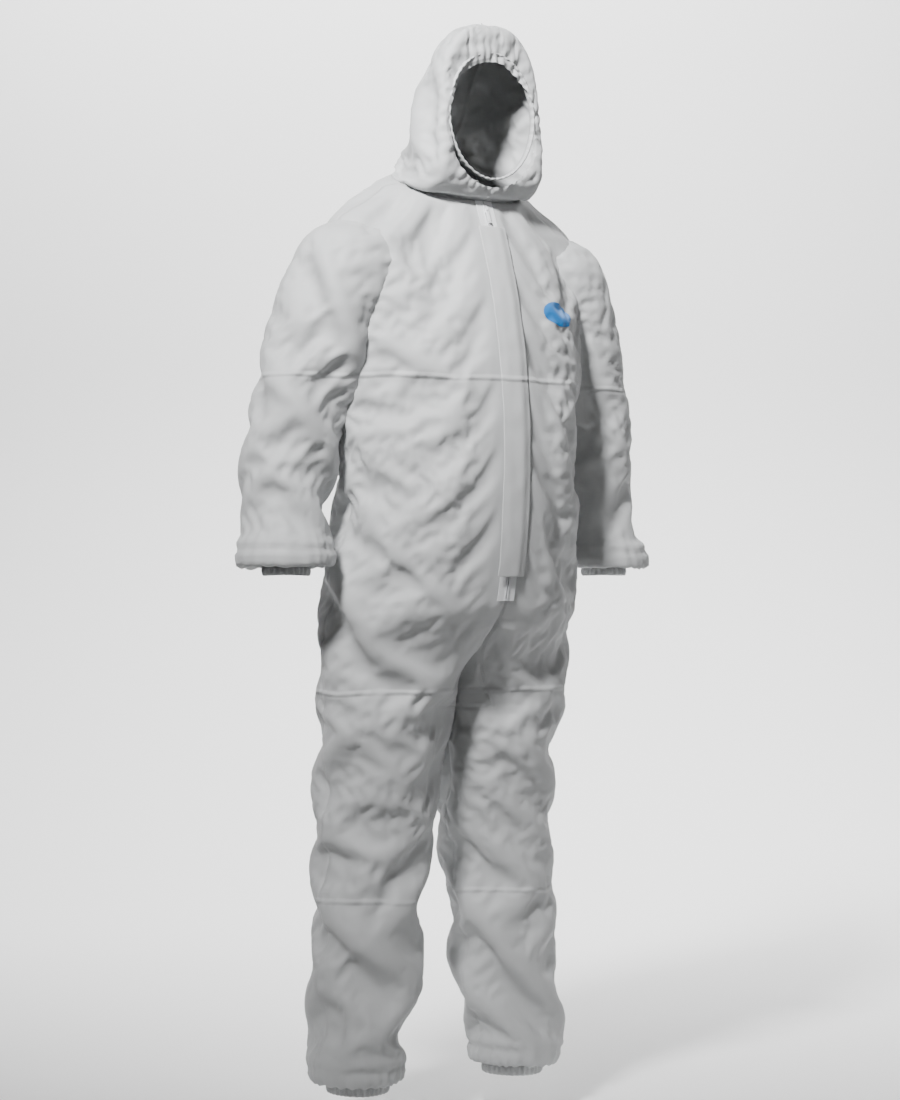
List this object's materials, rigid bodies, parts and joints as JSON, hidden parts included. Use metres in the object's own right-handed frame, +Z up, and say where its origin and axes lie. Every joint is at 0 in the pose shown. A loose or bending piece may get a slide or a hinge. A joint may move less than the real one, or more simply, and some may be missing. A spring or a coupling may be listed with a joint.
{
  "type": "protective coverall",
  "caption": "Disposable hooded protective coverall with elasticated face, wrists and ankles, a front zip with slider and pull tab, and a storm flap over the zip.",
  "frame": {"origin": "centre of the neck seam, where the wearer's neck and shoulders carry the suit", "axes": "+Z up, -Y the way the wearer faces, +X the wearer's left"},
  "size_m": [0.7762, 0.3524, 1.717],
  "materials": {
    "suit_fabric": "matt spunbond nonwoven",
    "elastic": "flat woven elastic",
    "zip_tape": "woven tape",
    "zip_teeth": "satin coil",
    "zip_slider": "white enamelled",
    "badge": "printed",
    "care_label": "satin ribbon"
  },
  "bodies": {
    "garment": {"hood_left_panel": "suit_fabric", "hood_right_panel": "suit_fabric", "hood_centre_panel": "suit_fabric", "front_left": "suit_fabric", "front_right": "suit_fabric", "back_left": "suit_fabric", "back_right": "suit_fabric", "sleeve_left": "suit_fabric", "sleeve_right": "suit_fabric", "crotch_gusset": "suit_fabric", "face_hem": "suit_fabric", "wrist_hem_left": "suit_fabric", "wrist_hem_right": "suit_fabric", "ankle_hem_left": "suit_fabric", "ankle_hem_right": "suit_fabric", "face_elastic": "elastic", "wrist_elastic_left": "elastic", "wrist_elastic_right": "elastic", "ankle_elastic_left": "elastic", "ankle_elastic_right": "elastic", "waist_elastic": "elastic", "zip_tape_left": "zip_tape", "zip_tape_right": "zip_tape", "zip_coil_left": "zip_teeth", "zip_coil_right": "zip_teeth", "zip_top_stops": "zip_teeth", "zip_bottom_stop": "zip_teeth", "chest_badge": "badge", "care_label": "care_label"},
    "slider": {"zip_slider": "zip_slider"},
    "pull_tab": {"zip_pull_tab": "zip_slider"},
    "flap": {"storm_flap": "suit_fabric"}
  },
  "joints": [
    {"name": "zip_run", "type": "hinge", "parent": "garment", "child": "slider", "pos_m": [0, 0.846, -0.439], "axis": [1, 0, 0], "range_deg": [0, 35.58]},
    {"name": "pull_tab_swing", "type": "hinge", "parent": "slider", "child": "pull_tab", "pos_m": [0, -0.07847, -0.04508], "axis": [-1, 0, 0], "range_deg": [0, 115]},
    {"name": "storm_flap_open", "type": "slide", "parent": "garment", "child": "flap", "axis": [1, 0, 0], "range_m": [0, 0.056]}
  ]
}
